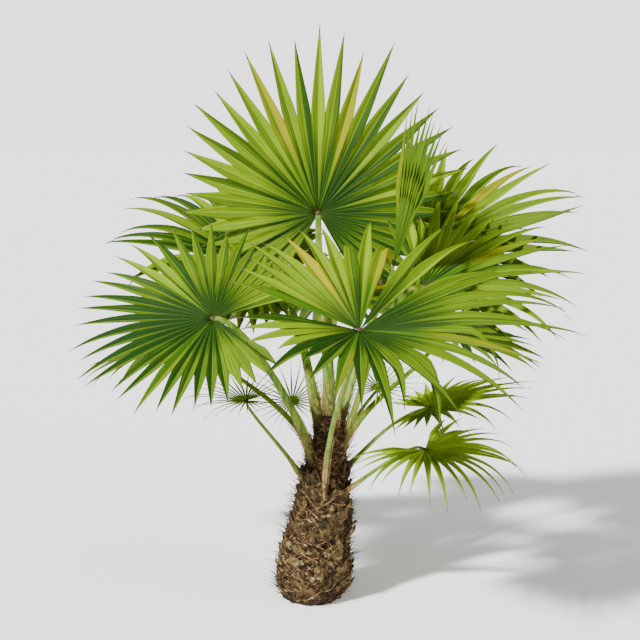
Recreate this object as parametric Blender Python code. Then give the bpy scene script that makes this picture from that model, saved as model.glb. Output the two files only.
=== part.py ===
# Young fan palm: a short leaning trunk wrapped in old leaf bases, and round fan fronds on long petioles.
# Metres, Z up, X to the viewer's right, -Y towards the viewer. The origin is on the ground under the trunk.
import math
import random
from collections import namedtuple

import bmesh
import bpy
from mathutils import Vector
from mathutils.bvhtree import BVHTree

SEED = 11
CLEARANCE = 0.0004  # air left between one solid and the next
TRUNK_GAP = 0.0006  # air left between the trunk and what stands against it

# Trunk: (height, radius) up its outline, and how far it leans for each metre up.
TRUNK_OUTLINE = (
    (0.0, 0.100), (0.03, 0.112), (0.08, 0.115), (0.14, 0.111), (0.2, 0.104), (0.27, 0.094),
    (0.34, 0.083), (0.41, 0.070), (0.48, 0.057), (0.55, 0.044), (0.63, 0.028),
)
TRUNK_LEAN = 0.11
TRUNK_SIDES = 20
TRUNK_LUMP = 0.035  # share of the radius by which the bark bulges between old leaf bases
TRUNK_TWIST = 26  # how fast the bulges climb round it, in radians for each metre up

# Old leaf bases: stubs of cut petioles, set in a spiral up the trunk.
STUB_COUNT = 24
STUB_TURN = math.radians(137.5)
STUB_FIRST, STUB_LAST = 0.045, 0.285  # heights of the lowest and the highest stub
STUB_LENGTH = 0.075
STUB_WIDTH, STUB_DEPTH = 0.076, 0.036  # where it leaves the trunk
STUB_TAPER = 0.68
STUB_RISE = math.radians(52)
STUB_SINK = 0.022  # how far its foot lies inside the trunk
STUB_BACK = 0.3  # share of its length by which the foot is drawn back
STUB_FLOOR = 0.024  # the lowest that the middle of a foot may lie
STUB_SHRINK = 0.25  # how much smaller the highest stub is than the lowest
STUB_SIDES = 6

# Petioles: width and depth at the foot, half way and at the hub, for the largest fronds.
PETIOLE_WIDTHS = (0.042, 0.027, 0.021)
PETIOLE_DEPTHS = (0.024, 0.018, 0.012)
PETIOLE_SIDES = 6
PETIOLE_STEPS = 9
PETIOLE_SINK = 0.018  # how far its foot starts inside the trunk
PETIOLE_BOW = 0.42  # how long it holds its first direction, as a share of its length
UPRIGHT_BLADE = 0.85  # above this cosine between petiole and facing it meets the hub from below
HEEL_LEAST = math.radians(150)  # the hub plate's back edge starts no nearer the lead than this
HEEL_SEAT = 0.45  # half width of a petiole that meets the hub from below, over the hub's radius

# Blades: leaflets fan out from a hub plate. They are pleated together as far as the split.
HUB_RADIUS = 0.021
HUB_THICKNESS = 0.010
LEAF_THICKNESS = 0.0105  # as a share of the blade's reach
PLEAT = 0.42  # depth of the fold over the leaflet's half width
LENGTH_SPREAD = 0.07
SWING_SPREAD = math.radians(5)
SAG_LEAST, SAG_MOST = 0.3, 1.9  # how much more or less than its frond's a leaflet may sag
LIMP_FROM, LIMP_PULL = 0.52, 9.0  # where a broken leaflet starts to hang, and how hard
LIMP_LENGTH = 0.85  # how much of its length a broken leaflet keeps
BEND_AT = 0.3  # where a leaflet is widest and bends, from its split to its tip
BEND_WIDTH = 1.12  # its width there, over its width at the split
RIB_STEP = 0.06  # step along a rib, as a share of the blade's reach
SAG_RATE = 1.5  # how hard a leaflet of sag 1 is pulled down at its tip
SHORTENING_TURN = 0.85  # how fast leaflets get shorter away from the lead
LEAST_LENGTH = 1.08  # the shortest leaflet, over its length at the split
PROBE_FROM = 1.02  # where the test for what a leaflet touches begins, over its split
TIP_THICKNESS = 0.6  # thickness at the tip, over the thickness elsewhere
PROBE_DEPTH = 0.6  # how far the test reaches above and below the leaflet, over its thickness

# A leaflet that would touch something tries other sags and swings, then gets shorter, then is left out.
# The pairs are what is added to its sag, and to its swing in degrees.
DODGES = (
    (0, 0), (-0.7, 0), (0.7, 0), (-1.4, 0), (1.4, 0),
    (0, 12), (0, -12), (-0.7, 16), (-0.7, -16), (-2.2, 0),
)
SHORTENING = (1.0, 0.85, 0.7, 0.55)

# One frond. turn and foot (a height) place the petiole on the trunk, rise is its slope there, and arrive
# is how straight it runs into the hub. The blade faces one way and its middle leaflet leads another.
# reach is the middle leaflet's length. The leaflets fan out over span and are joined up to split, a share
# of the reach. Away from the lead they get shorter by short. cup is how far the disc rises from the hub
# as a bowl, sag how far the leaflets bend down, limp the share of broken ones, and scale the thickness of
# the petiole and the hub. Directions are (turn about Z from +X, height above level), all in degrees.
Frond = namedtuple(
    "Frond",
    "name turn foot rise arrive hub face lead reach leaflets span short split cup sag limp scale",
)
FRONDS = (
    Frond("front", -85, 0.37, 74, 0.15, (0.150, -0.47, 1.005),
          (-80, 66), (0, 5), 0.66, 38, 340, 0.22, 0.36, 16, 1.1, 0.22, 1.0),
    Frond("left", -148, 0.47, 68, 0.14, (-0.318, -0.12, 0.985),
          (-97, 51), (170, 10), 0.49, 36, 306, 0.24, 0.44, 3, 0.5, 0.0, 1.0),
    Frond("top", 98, 0.59, 84, 0.3, (0.024, 0.27, 1.292),
          (-91, 8), (90, 82), 0.62, 37, 300, 0.3, 0.46, 3, 0.1, 0.0, 1.0),
    Frond("spear", -35, 0.58, 82, 0.3, (0.275, -0.02, 1.150),
          (196, 14), (0, 66), 0.53, 10, 54, 0.3, 0.4, 3, 0.2, 0.0, 0.8),
    Frond("right", -8, 0.49, 68, 0.2, (0.376, -0.05, 1.080),
          (-95, 62), (0, 5), 0.50, 24, 220, 0.25, 0.42, 10, 0.9, 0.0, 1.0),
    Frond("right_back", 28, 0.56, 72, 0.25, (0.403, 0.30, 1.157),
          (-118, 52), (12, 34), 0.58, 34, 306, 0.3, 0.44, 6, 1.0, 0.0, 1.0),
    Frond("left_back", 146, 0.55, 74, 0.25, (-0.213, 0.34, 1.104),
          (-70, 50), (165, 15), 0.51, 34, 306, 0.3, 0.44, 8, 1.8, 0.0, 1.0),
    Frond("low_front", -26, 0.365, 34, 0.15, (0.371, -0.21, 0.568),
          (-80, 80), (-45, -6), 0.355, 24, 244, 0.2, 0.2, 6, 1.8, 0.0, 0.8),
    Frond("low_right", 12, 0.42, 44, 0.3, (0.405, 0.06, 0.648),
          (190, 74), (-5, 20), 0.36, 26, 280, 0.3, 0.22, 4, 1.0, 0.0, 0.8),
    Frond("low_left", 200, 0.39, 60, 0.1, (-0.212, -0.13, 0.713),
          (-90, 76), (172, 6), 0.205, 26, 320, 0.2, 0.1, 12, 0.9, 0.0, 0.65),
    Frond("low_left_back", 170, 0.44, 78, 0.3, (-0.068, 0.20, 0.637),
          (-100, 52), (100, 38), 0.18, 24, 320, 0.2, 0.1, 8, 0.6, 0.0, 0.6),
    Frond("low_right_back", 50, 0.45, 60, 0.3, (0.238, 0.25, 0.676),
          (-110, 58), (50, 30), 0.18, 24, 320, 0.2, 0.1, 8, 0.6, 0.0, 0.6),
    Frond("back", 84, 0.47, 66, 0.25, (0.060, 0.64, 0.960),
          (92, 60), (92, -5), 0.48, 28, 306, 0.3, 0.44, 6, 0.9, 0.0, 1.0),
    Frond("back_left", 176, 0.49, 62, 0.25, (-0.420, 0.34, 0.860),
          (150, 62), (150, 0), 0.44, 28, 306, 0.3, 0.44, 6, 0.9, 0.0, 0.9),
    Frond("back_right", 66, 0.39, 58, 0.25, (0.480, 0.52, 0.840),
          (46, 62), (46, -2), 0.44, 28, 306, 0.3, 0.44, 6, 0.9, 0.0, 0.9),
)

# One leaflet of a frond: its angle from the lead, and how it is drawn out.
Leaflet = namedtuple("Leaflet", "angle length sag swing limp")

BARK = ("bark", (0.16, 0.10, 0.05), 0.9)
STALK = ("petiole", (0.30, 0.40, 0.12), 0.5)
LEAF = ("leaf", (0.22, 0.42, 0.05), 0.45)


def clear_scene():
    for old in list(bpy.data.objects):
        bpy.data.objects.remove(old)


def material(spec):
    """One plain Principled finish, made once and shared."""
    name, colour, roughness = spec
    found = bpy.data.materials.get(name)
    if found:
        return found
    made = bpy.data.materials.new(name)
    made.use_nodes = True
    shader = made.node_tree.nodes["Principled BSDF"]
    shader.inputs["Base Color"].default_value = (*colour, 1.0)
    shader.inputs["Roughness"].default_value = roughness
    shader.inputs["Metallic"].default_value = 0.0
    return made


def add_object(name, bm, spec):
    bmesh.ops.recalc_face_normals(bm, faces=bm.faces)
    mesh = bpy.data.meshes.new(name)
    bm.to_mesh(mesh)
    bm.free()
    made = bpy.data.objects.new(name, mesh)
    made.data.materials.append(material(spec))
    bpy.context.scene.collection.objects.link(made)
    return made


def heading(turn, height):
    """Unit vector from a turn about Z and a height above level, both in degrees."""
    a, e = math.radians(turn), math.radians(height)
    return Vector((math.cos(a) * math.cos(e), math.sin(a) * math.cos(e), math.sin(e)))


def trunk_centre(height):
    return Vector((TRUNK_LEAN * height, 0.0, height))


def trunk_radius(height):
    for (low, r_low), (high, r_high) in zip(TRUNK_OUTLINE, TRUNK_OUTLINE[1:]):
        if height <= high:
            return r_low + (r_high - r_low) * (height - low) / (high - low)
    return TRUNK_OUTLINE[-1][1]


def trunk_body(grow=0.0):
    """The trunk as a loft of rings, with gentle lumps that climb it in a spiral. It can be grown to
    make the cutter for what stands against it."""
    bm = bmesh.new()
    loops = []
    for height, radius in TRUNK_OUTLINE:
        top = grow if height == TRUNK_OUTLINE[-1][0] else 0.0
        loop = []
        for k in range(TRUNK_SIDES):
            turn = 2 * math.pi * k / TRUNK_SIDES
            lump = 1 + TRUNK_LUMP * math.sin(3 * turn + TRUNK_TWIST * height)
            out = Vector((math.cos(turn), math.sin(turn), 0)) * (radius * lump + grow)
            loop.append(bm.verts.new(trunk_centre(height) + out + Vector((0, 0, top))))
        loops.append(loop)
    join_loops(bm, loops)
    bmesh.ops.triangulate(bm, faces=bm.faces, quad_method="FIXED")
    return bm


def make_stub(k):
    """One cut leaf base: a short tapered block that leans out of the trunk."""
    share = k / (STUB_COUNT - 1)
    height = STUB_FIRST + (STUB_LAST - STUB_FIRST) * share
    turn = STUB_TURN * k
    size = 1.0 - STUB_SHRINK * share
    out = Vector((math.cos(turn), math.sin(turn), 0))
    along = out * math.cos(STUB_RISE) + Vector((0, 0, math.sin(STUB_RISE)))
    side = Vector((-math.sin(turn), math.cos(turn), 0))
    back = along.cross(side)
    foot = trunk_centre(height) + out * (trunk_radius(height) - STUB_SINK) - along * STUB_LENGTH * STUB_BACK
    foot.z = max(foot.z, STUB_FLOOR)
    bm = bmesh.new()
    loops = []
    for end in (0, 1):
        grow = size * (STUB_TAPER if end else 1.0)
        loop = []
        for c in range(STUB_SIDES):
            angle = 2 * math.pi * c / STUB_SIDES
            flat = side * math.cos(angle) * STUB_WIDTH / 2 + back * math.sin(angle) * STUB_DEPTH / 2
            loop.append(bm.verts.new(foot + along * STUB_LENGTH * size * end + flat * grow))
        loops.append(loop)
    join_loops(bm, loops)
    return add_object(f"stub_{k}", bm, BARK)


def join_loops(bm, loops):
    """Closes a row of equal vertex loops into one skin, with a face on each end."""
    for low, high in zip(loops, loops[1:]):
        for k in range(len(low)):
            nxt = (k + 1) % len(low)
            bm.faces.new((low[k], low[nxt], high[nxt], high[k]))
    bm.faces.new(loops[0])
    bm.faces.new(loops[-1])


def boolean(target, operation, operand=None, collection=None):
    """Applies one exact Boolean to an object."""
    step = target.modifiers.new("boolean", "BOOLEAN")
    step.operation = operation
    step.solver = "EXACT"
    if collection:
        step.operand_type = "COLLECTION"
        step.collection = collection
    else:
        step.object = operand
    graph = bpy.context.evaluated_depsgraph_get()
    joined = bpy.data.meshes.new_from_object(target.evaluated_get(graph))
    target.modifiers.clear()
    target.data = joined


def make_trunk():
    """The trunk from its flat cut at the ground to its tip, with the old leaf bases grown on."""
    trunk = add_object("trunk", trunk_body(), BARK)
    stubs = bpy.data.collections.new("stubs")
    bpy.context.scene.collection.children.link(stubs)
    for k in range(STUB_COUNT):
        stub = make_stub(k)
        bpy.context.scene.collection.objects.unlink(stub)
        stubs.objects.link(stub)
    boolean(trunk, "UNION", collection=stubs)
    for stub in list(stubs.objects):
        bpy.data.objects.remove(stub)
    bpy.data.collections.remove(stubs)
    return trunk


def blade_frame(frond):
    """(lead, side, face): the way the middle leaflet runs, the way across, and the upper side."""
    face = heading(*frond.face)
    lead = heading(*frond.lead)
    lead = (lead - face * lead.dot(face)).normalized()
    return lead, face.cross(lead), face


def hub_radius(frond):
    return HUB_RADIUS * frond.scale


def meets_from_below(frond):
    """Whether the petiole comes up at the blade so straight that it joins the hub from below."""
    return (Vector(frond.hub) - petiole_foot(frond)).normalized().dot(heading(*frond.face)) > UPRIGHT_BLADE


def heel_angle(frond):
    """The angle from the lead at which the hub plate's straight back edge starts."""
    return max(math.radians(frond.span) / 2, HEEL_LEAST)


def petiole_foot(frond):
    return trunk_centre(frond.foot) + heading(frond.turn, 0) * (trunk_radius(frond.foot) - PETIOLE_SINK)


def petiole_path(frond):
    """Points along the petiole, from inside the trunk to just short of the hub plate's back edge or
    underside, and the way it runs in."""
    lead, _, face = blade_frame(frond)
    if meets_from_below(frond):
        into, back = face, HUB_THICKNESS * frond.scale / 2
    else:
        into, back = lead, -hub_radius(frond) * math.cos(heel_angle(frond))
    foot, end = petiole_foot(frond), Vector(frond.hub) - into * (back + CLEARANCE)
    length = (end - foot).length
    first = foot + heading(frond.turn, frond.rise) * length * PETIOLE_BOW
    last = end - into * length * frond.arrive
    points = []
    for k in range(PETIOLE_STEPS + 1):
        t = k / PETIOLE_STEPS
        points.append(
            foot * (1 - t) ** 3 + first * 3 * t * (1 - t) ** 2 + last * 3 * t * t * (1 - t) + end * t**3
        )
    return points, into


def three_way(values, t):
    """Runs straight from the first value to the second at half way, then to the third."""
    first, middle, last = values
    return first + (middle - first) * 2 * t if t < 0.5 else middle + (last - middle) * (2 * t - 1)


def make_petiole(frond):
    """A tapering stalk, flatter on its upper side, whose foot is cut to the trunk's surface."""
    points, into = petiole_path(frond)
    _, across, _ = blade_frame(frond)
    seat = hub_radius(frond) * (HEEL_SEAT if meets_from_below(frond) else math.sin(heel_angle(frond)))
    bm = bmesh.new()
    loops = []
    for k in range(len(points) - 1, -1, -1):
        along = into if k == len(points) - 1 else (points[k + 1] - points[max(k - 1, 0)]).normalized()
        across = (across - along * across.dot(along)).normalized()
        up = across.cross(along)
        t = k / (len(points) - 1)
        wide = three_way(PETIOLE_WIDTHS, t) * frond.scale / 2
        wide = min(wide, seat + (1 - t) * PETIOLE_WIDTHS[0])
        deep = three_way(PETIOLE_DEPTHS, t) * frond.scale / 2
        loop = []
        for c in range(PETIOLE_SIDES):
            angle = 2 * math.pi * (c + 0.5) / PETIOLE_SIDES
            loop.append(bm.verts.new(points[k] + across * wide * math.cos(angle) + up * deep * math.sin(angle)))
        loops.append(loop)
    join_loops(bm, loops)
    petiole = add_object(f"petiole_{frond.name}", bm, STALK)
    cutter = add_object("cutter", trunk_body(TRUNK_GAP), BARK)
    boolean(petiole, "DIFFERENCE", operand=cutter)
    bpy.data.objects.remove(cutter)
    keep_nearest_piece(petiole, points[-1])
    return petiole


def keep_nearest_piece(target, point):
    """Drops what a cut left loose: only the piece that holds the vertex nearest to the point stays."""
    bm = bmesh.new()
    bm.from_mesh(target.data)
    start = min(bm.verts, key=lambda v: (v.co - point).length)
    kept, edge = {start}, [start]
    while edge:
        for link in edge.pop().link_edges:
            for vert in link.verts:
                if vert not in kept:
                    kept.add(vert)
                    edge.append(vert)
    bmesh.ops.delete(bm, geom=[v for v in bm.verts if v not in kept], context="VERTS")
    bm.to_mesh(target.data)
    bm.free()


def rib(frond, leaflet, radii):
    """(point, direction) at each radius along a leaflet's rib. It leaves the hub at the blade's cup and
    sags under its own weight. It swings sideways from the split on, and a broken one hangs at its end."""
    lead, side, face = blade_frame(frond)
    flat = lead * math.cos(leaflet.angle) + side * math.sin(leaflet.angle)
    across = side * math.cos(leaflet.angle) - lead * math.sin(leaflet.angle)
    cup = math.radians(frond.cup)
    now = flat * math.cos(cup) + face * math.sin(cup)
    point, radius, found = Vector(frond.hub), 0.0, []
    for target in radii:
        steps = max(1, math.ceil((target - radius) / (RIB_STEP * frond.reach)))
        step = (target - radius) / steps
        for _ in range(steps):
            share = (radius + step / 2) / frond.reach
            pull = SAG_RATE * leaflet.sag * share**2
            if leaflet.limp and share > LIMP_FROM:
                pull += LIMP_PULL
            now = now - Vector((0, 0, pull * step / frond.reach))
            if share > frond.split:
                now = now + across * leaflet.swing * step / frond.reach
            now.normalize()
            point = point + now * step
            radius += step
        found.append((point.copy(), now.copy()))
    return found


def lift(direction, frond, angle):
    """The upper side of a leaflet that runs this way."""
    lead, side, _ = blade_frame(frond)
    across = side * math.cos(angle) - lead * math.sin(angle)
    return direction.cross(across).normalized()


def leaflet_plan(frond, k, draw):
    """The angle, length, sag and swing that one leaflet of a frond starts with."""
    span = math.radians(frond.span)
    angle = -span / 2 + (k + 0.5) * span / frond.leaflets
    shape = 1 - frond.short * (1 - math.cos(SHORTENING_TURN * angle))
    length = frond.reach * shape * (1 + draw.uniform(-LENGTH_SPREAD, LENGTH_SPREAD))
    sag = frond.sag * draw.uniform(SAG_LEAST, SAG_MOST)
    swing = draw.uniform(-SWING_SPREAD, SWING_SPREAD)
    limp = draw.random() < frond.limp
    return Leaflet(angle, length * (LIMP_LENGTH if limp else 1.0), sag, swing, limp)


def half_width(frond):
    """Half the width of a leaflet where it splits from its neighbours."""
    return frond.split * frond.reach * math.tan(math.radians(frond.span) / frond.leaflets / 2)


def leaflet_outline(frond, leaflet):
    """The free part of a leaflet past its split: its bend (left, middle, right) and its tip, each as
    (point, upper side)."""
    split = frond.split * frond.reach
    length = max(leaflet.length, split * LEAST_LENGTH)
    bend = split + (length - split) * BEND_AT
    (middle, along), (tip, end) = rib(frond, leaflet, (bend, length))
    up = lift(along, frond, leaflet.angle)
    across = up.cross(along).normalized()
    half = half_width(frond) * BEND_WIDTH
    fold = up * half * PLEAT / 2
    left, right = middle - across * half + fold, middle + across * half + fold
    return (left, up), (middle - fold, up), (right, up), (tip, lift(end, frond, leaflet.angle))


def leaflet_tree(frond, leaflet, thick):
    """The free part of a leaflet as a search tree, to test what it would touch."""
    (root, along), = rib(frond, leaflet, (frond.split * frond.reach * PROBE_FROM,))
    up = lift(along, frond, leaflet.angle)
    across = up.cross(along).normalized() * half_width(frond)
    places = ((root - across, up), (root + across, up), *leaflet_outline(frond, leaflet))
    points = [p + u * thick * PROBE_DEPTH * s for s in (1, -1) for p, u in places]
    faces = [(0, 2, 3), (0, 3, 1), (3, 4, 1), (2, 5, 3), (3, 5, 4)]
    faces += [tuple(n + 6 for n in reversed(face)) for face in faces]
    faces += [(0, 6, 8, 2), (2, 8, 11, 5), (5, 11, 10, 4), (4, 10, 7, 1), (1, 7, 6, 0)]
    return BVHTree.FromPolygons(points, faces, epsilon=CLEARANCE)


def clear_leaflet(frond, plan, thick, others):
    """The leaflet as it can grow: bent aside or shortened until it touches nothing, or None."""
    for share in SHORTENING:
        for sag, swing in DODGES:
            tried = plan._replace(
                length=plan.length * share, sag=plan.sag + sag, swing=plan.swing + math.radians(swing)
            )
            tree = leaflet_tree(frond, tried, thick)
            if not any(tree.overlap(other) for other in others):
                return tried
    return None


def blade_skin(frond, leaflets):
    """The whole blade as one closed skin: hub plate, pleated disc, and its free leaflets. Where a
    leaflet is None the disc just ends at the split."""
    span = math.radians(frond.span)
    split = frond.split * frond.reach
    thick = LEAF_THICKNESS * frond.reach
    plate = HUB_THICKNESS * frond.scale
    _, _, face = blade_frame(frond)
    bm = bmesh.new()

    def pair(point, up, depth):
        """The upper and lower vertex of one place on the blade."""
        return bm.verts.new(point + up * depth / 2), bm.verts.new(point - up * depth / 2)

    def skin(*pairs):
        bm.faces.new([p[0] for p in pairs])
        bm.faces.new([p[1] for p in reversed(pairs)])

    def wall(start, end):
        bm.faces.new((start[0], start[1], end[1], end[0]))

    def spoke(angle, fold):
        """Ring and split places on a fold line: +1 on a ridge between leaflets, -1 in a valley."""
        line = Leaflet(angle, 0.0, frond.sag, 0.0, False)
        (near, _), (far, along) = rib(frond, line, (hub_radius(frond), split))
        up = lift(along, frond, angle)
        return pair(near, face, plate), pair(far + up * fold * half_width(frond) * PLEAT / 2, up, thick)

    def edge_of_hub(angle):
        (place, _), = rib(frond, Leaflet(angle, 0.0, frond.sag, 0.0, False), (hub_radius(frond),))
        return pair(place, face, plate)

    centre = pair(Vector(frond.hub), face, plate)
    ridges = [spoke(-span / 2 + j * span / frond.leaflets, 1) for j in range(frond.leaflets + 1)]
    for k, leaflet in enumerate(leaflets):
        (ring_left, left), (ring_right, right) = ridges[k], ridges[k + 1]
        ring_middle, middle = spoke(-span / 2 + (k + 0.5) * span / frond.leaflets, -1)
        skin(centre, ring_left, ring_middle)
        skin(centre, ring_middle, ring_right)
        skin(ring_left, left, middle, ring_middle)
        skin(ring_middle, middle, right, ring_right)
        if leaflet is None:
            wall(left, middle)
            wall(middle, right)
            continue
        bend_left, bend, bend_right, tip = (
            pair(point, up, thick * (TIP_THICKNESS if n == 3 else 1.0))
            for n, (point, up) in enumerate(leaflet_outline(frond, leaflet))
        )
        skin(left, bend_left, bend, middle)
        skin(middle, bend, bend_right, right)
        skin(bend_left, tip, bend)
        skin(bend, tip, bend_right)
        for start, end in ((left, bend_left), (bend_left, tip), (tip, bend_right), (bend_right, right)):
            wall(start, end)
    for near, far in (ridges[0], ridges[-1]):
        wall(near, far)
    heel = [ridges[-1][0], ridges[0][0]]
    if heel_angle(frond) > span / 2:
        heel[1:1] = [edge_of_hub(heel_angle(frond)), edge_of_hub(-heel_angle(frond))]
    for start, end in zip(heel, heel[1:]):
        skin(centre, start, end)
        wall(start, end)
    bmesh.ops.triangulate(bm, faces=bm.faces)
    return bm


def disc_tree(frond):
    """The part of a blade that can't be bent aside, as a search tree."""
    bm = blade_skin(frond, [None] * frond.leaflets)
    tree = BVHTree.FromBMesh(bm, epsilon=CLEARANCE)
    bm.free()
    return tree


def make_blade(frond, others, draw):
    """A blade whose leaflets grow clear of everything else."""
    plans = [leaflet_plan(frond, k, draw) for k in range(frond.leaflets)]
    thick = LEAF_THICKNESS * frond.reach
    grown = [clear_leaflet(frond, plan, thick, others) for plan in plans]
    return add_object(f"blade_{frond.name}", blade_skin(frond, grown), LEAF)


def search_tree(target):
    verts = [v.co.copy() for v in target.data.vertices]
    faces = [tuple(p.vertices) for p in target.data.polygons]
    return BVHTree.FromPolygons(verts, faces)


def main():
    clear_scene()
    limbs = [search_tree(make_trunk())] + [search_tree(make_petiole(frond)) for frond in FRONDS]
    blades = [disc_tree(frond) for frond in FRONDS]
    for n, frond in enumerate(FRONDS):
        others = limbs[: n + 1] + limbs[n + 2 :] + blades[:n] + blades[n + 1 :]
        blade = make_blade(frond, others, random.Random(SEED + n))
        blades[n] = search_tree(blade)


main()
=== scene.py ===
import math
import random
from collections import namedtuple

import bmesh
import bpy
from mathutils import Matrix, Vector, noise
from mathutils.kdtree import KDTree


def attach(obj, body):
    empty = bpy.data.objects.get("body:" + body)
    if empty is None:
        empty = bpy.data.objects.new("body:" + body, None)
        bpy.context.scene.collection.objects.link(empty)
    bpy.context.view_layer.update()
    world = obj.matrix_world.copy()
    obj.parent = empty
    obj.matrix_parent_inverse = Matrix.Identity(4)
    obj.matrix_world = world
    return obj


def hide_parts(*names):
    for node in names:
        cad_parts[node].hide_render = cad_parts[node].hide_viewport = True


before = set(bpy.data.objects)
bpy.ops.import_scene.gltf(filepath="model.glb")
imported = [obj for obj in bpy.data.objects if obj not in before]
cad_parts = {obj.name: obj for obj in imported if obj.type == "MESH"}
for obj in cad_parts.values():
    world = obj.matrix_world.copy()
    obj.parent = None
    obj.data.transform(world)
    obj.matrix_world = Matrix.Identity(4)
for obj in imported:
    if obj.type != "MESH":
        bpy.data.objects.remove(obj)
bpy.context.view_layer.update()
print("frame loaded:", len(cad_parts), "solids")

# A petiole leaves the trunk at a turn and a foot height and rises to the hub, arrive being how straight
# it runs in. The blade faces one way and its middle leaflet, as long as reach, leads another. Leaflets
# fan out over span, joined up to split, and get shorter by short. cup lifts the disc as a bowl, sag
# bends the leaflets, limp is the share of broken ones, and scale the thickness of petiole and hub.
Frond = namedtuple(
    "Frond",
    "name turn foot rise arrive hub face lead reach leaflets span short split cup sag limp scale",
)
fronds = (
    Frond("front", -85, 0.37, 74, 0.15, (0.150, -0.47, 1.005),
          (-80, 66), (0, 5), 0.66, 38, 340, 0.22, 0.36, 16, 1.1, 0.22, 1.0),
    Frond("left", -148, 0.47, 68, 0.14, (-0.318, -0.12, 0.985),
          (-97, 51), (170, 10), 0.49, 36, 306, 0.24, 0.44, 3, 0.5, 0.0, 1.0),
    Frond("top", 98, 0.59, 84, 0.3, (0.024, 0.27, 1.292),
          (-91, 8), (90, 82), 0.62, 37, 300, 0.3, 0.46, 3, 0.1, 0.0, 1.0),
    Frond("spear", -35, 0.58, 82, 0.3, (0.275, -0.02, 1.150),
          (196, 14), (0, 66), 0.53, 10, 54, 0.3, 0.4, 3, 0.2, 0.0, 0.8),
    Frond("right", -8, 0.49, 68, 0.2, (0.376, -0.05, 1.080),
          (-95, 62), (0, 5), 0.50, 24, 220, 0.25, 0.42, 10, 0.9, 0.0, 1.0),
    Frond("right_back", 28, 0.56, 72, 0.25, (0.403, 0.30, 1.157),
          (-118, 52), (12, 34), 0.58, 34, 306, 0.3, 0.44, 6, 1.0, 0.0, 1.0),
    Frond("left_back", 146, 0.55, 74, 0.25, (-0.213, 0.34, 1.104),
          (-70, 50), (165, 15), 0.51, 34, 306, 0.3, 0.44, 8, 1.8, 0.0, 1.0),
    Frond("low_front", -26, 0.365, 34, 0.15, (0.371, -0.21, 0.568),
          (-80, 80), (-45, -6), 0.355, 24, 244, 0.2, 0.2, 6, 1.8, 0.0, 0.8),
    Frond("low_right", 12, 0.42, 44, 0.3, (0.405, 0.06, 0.648),
          (190, 74), (-5, 20), 0.36, 26, 280, 0.3, 0.22, 4, 1.0, 0.0, 0.8),
    Frond("low_left", 200, 0.39, 60, 0.1, (-0.212, -0.13, 0.713),
          (-90, 76), (172, 6), 0.205, 26, 320, 0.2, 0.1, 12, 0.9, 0.0, 0.65),
    Frond("low_left_back", 170, 0.44, 78, 0.3, (-0.068, 0.20, 0.637),
          (-100, 52), (100, 38), 0.18, 24, 320, 0.2, 0.1, 8, 0.6, 0.0, 0.6),
    Frond("low_right_back", 50, 0.45, 60, 0.3, (0.238, 0.25, 0.676),
          (-110, 58), (50, 30), 0.18, 24, 320, 0.2, 0.1, 8, 0.6, 0.0, 0.6),
    Frond("back", 84, 0.47, 66, 0.25, (0.060, 0.64, 0.960),
          (92, 60), (92, -5), 0.48, 28, 306, 0.3, 0.44, 6, 0.9, 0.0, 1.0),
    Frond("back_left", 176, 0.49, 62, 0.25, (-0.420, 0.34, 0.860),
          (150, 62), (150, 0), 0.44, 28, 306, 0.3, 0.44, 6, 0.9, 0.0, 0.9),
    Frond("back_right", 66, 0.39, 58, 0.25, (0.480, 0.52, 0.840),
          (46, 62), (46, -2), 0.44, 28, 306, 0.3, 0.44, 6, 0.9, 0.0, 0.9),
)
Leaflet = namedtuple("Leaflet", "angle length sag swing limp")

# the solids' own rule for leaflets, so that each fine leaflet lies where its coarse one does
growth = {
    "seed": 11,
    "hubRadius": 0.021,  # all sizes are in metres
    "lengthSpread": 0.07,
    "swingSpread": math.radians(5),
    "sagLeast": 0.3,
    "sagMost": 1.9,
    "sagRate": 1.5,
    "limpFrom": 0.52,  # where a broken leaflet starts to hang, over its frond's reach
    "limpPull": 9.0,
    "limpLength": 0.85,
    "shorteningTurn": 0.85,
    "ribStep": 0.06,
    "shortening": (1.0, 0.85, 0.7, 0.55),  # tried in turn where a leaflet would touch something
    "dodges": (  # more sag and more swing, in degrees
        (0, 0), (-0.7, 0), (0.7, 0), (-1.4, 0), (1.4, 0),
        (0, 12), (0, -12), (-0.7, 16), (-0.7, -16), (-2.2, 0),
    ),
    "splitStop": 0.999,  # a leaflet is followed first to just short of its split
    "tipMatch": 0.004,  # how near the solid's own tip a try has to end
}

leafLook = {
    "rows": 16,
    "columns": 4,
    "tipRows": 2,
    "tipColumns": 2,
    "fold": 0.95,  # depth of the V over the half width
    "foldAtTip": 0.45,
    "swell": 1.22,  # width at the widest place over the width at the split
    "widestAt": 0.22,
    "taper": 1.05,
    "leastFree": 0.001,
    "overlap": 1.04,  # joined leaflets are this much wider than their share of the fan
    "tipFrom": 0.955,  # where the dry dark tip starts
    "tipWidth": 0.0016,
    "thickness": 0.0009,
    "ripple": 0.05,
    "ripples": 17,
    "startRadius": 0.5,  # where the leaflets start, over the hub's radius
    "seed": 100,
    # the low fronds take a finish with painted light, paler where they lie in the crown's shade
    "finish": {
        "spear": "leafDark", "low_front": "leafLowPaintedLight", "low_right": "leafLowPaintedLight", "low_left": "leafLowPaintedLight",
        "low_left_back": "leafLowPaintedLight", "low_right_back": "leafLowPaintedLight",
    },
    # how much wider the leaflets of these fronds swell
    "broad": {
        "spear": 1.9, "low_front": 1.6, "low_right": 1.6, "low_left": 1.25,
        "low_left_back": 1.2, "low_right_back": 1.2,
    },
    # leaflets of a deeper green, by frond and number
    "deep": {
        "front": range(6, 23), "left": range(18, 32), "top": range(0, 8), "right_back": range(6, 14),
    },
    "deepTone": 0.2,
    # leaflets that have turned yellow, by frond and number
    "yellow": {
        "top": (16, 21), "front": (7, 15, 27, 32, 37), "right": (14,),
        "right_back": (18,), "left": (26,), "spear": (9,), "back": (5,), "back_left": (20,),
    },
}


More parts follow.
